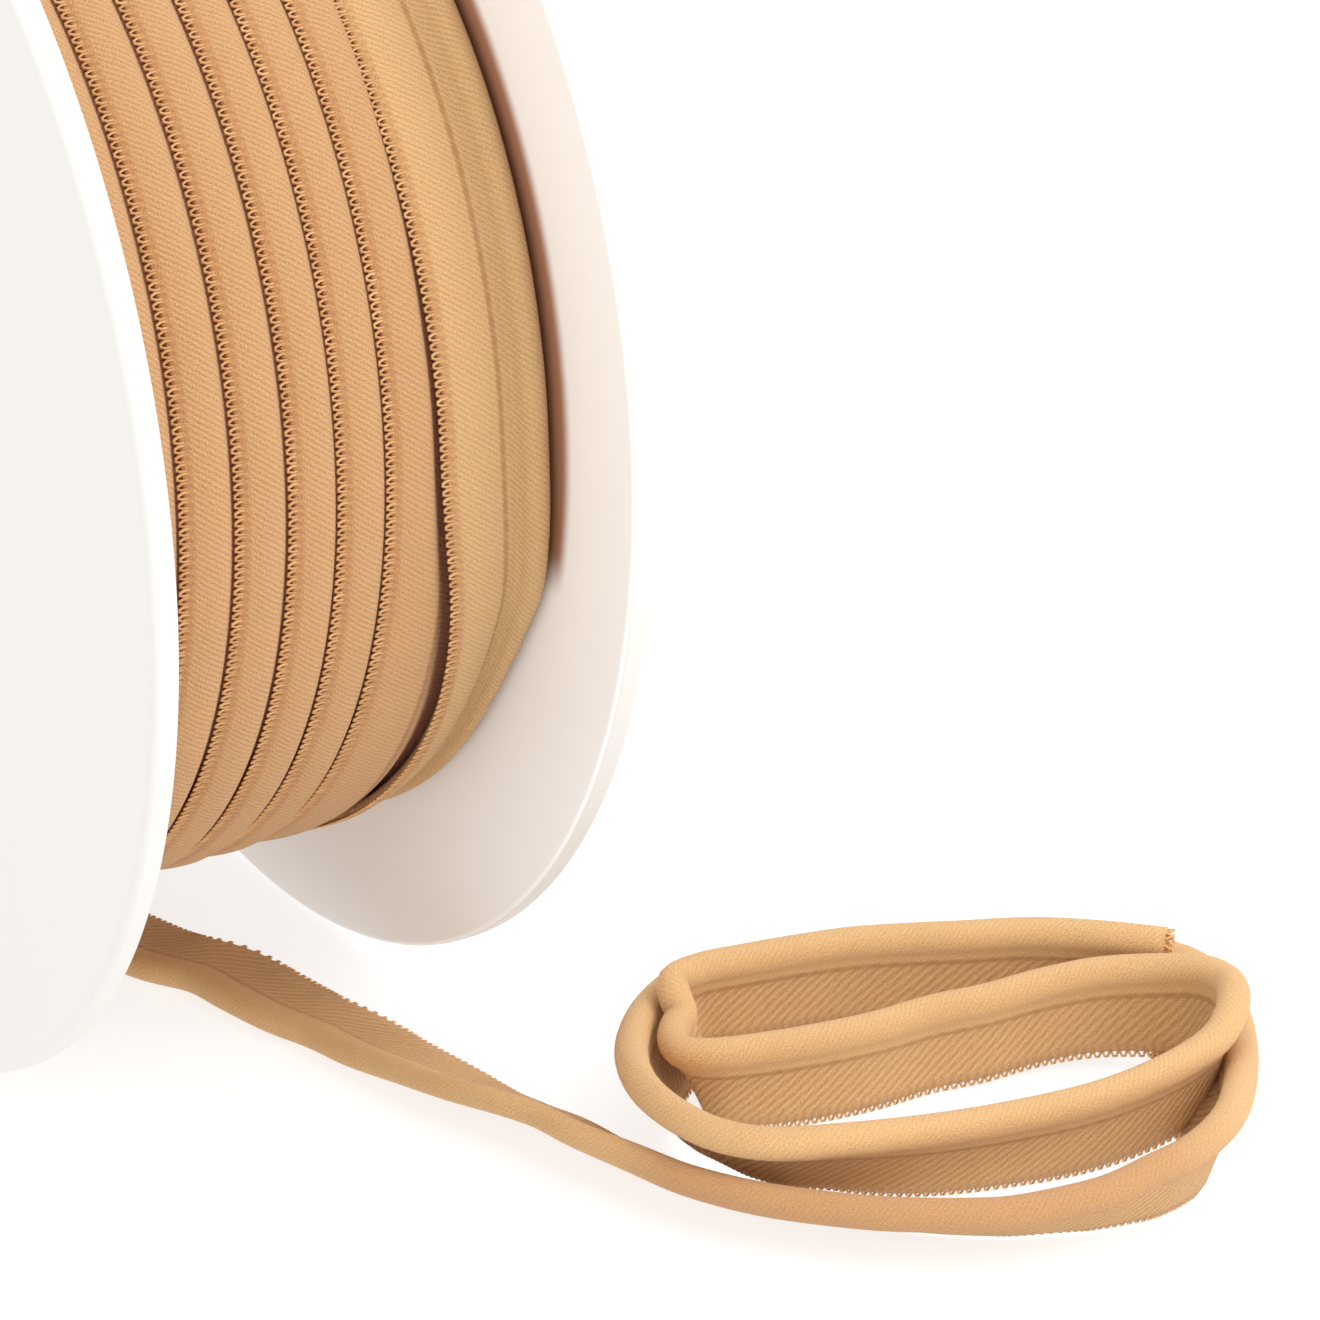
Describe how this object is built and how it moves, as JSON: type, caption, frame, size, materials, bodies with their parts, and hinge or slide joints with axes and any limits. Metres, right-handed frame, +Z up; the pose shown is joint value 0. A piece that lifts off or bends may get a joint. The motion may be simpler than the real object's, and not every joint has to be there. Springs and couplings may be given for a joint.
{
  "type": "roll of piping trim on a reel",
  "caption": "Flanged plastic reel wound with corded piping tape in overlapping turns, its free end lying in a loose coil beside it.",
  "frame": {"origin": "on the floor, under the middle of the whole object", "axes": "+Z up, +X along the reel's axis from the near flange to the far flange, +Y from the coiled free end to the back of the reel"},
  "size_m": [0.1062, 0.1666, 0.1299],
  "materials": {
    "reel_plastic": "satin moulded white plastic",
    "trim_cloth": "tan twill tape with a corded edge and looped selvage"
  },
  "bodies": {
    "root": {"reel_half_near": "reel_plastic", "reel_half_far": "reel_plastic", "wound_trim": "trim_cloth", "loose_end": "trim_cloth"}
  },
  "joints": []
}
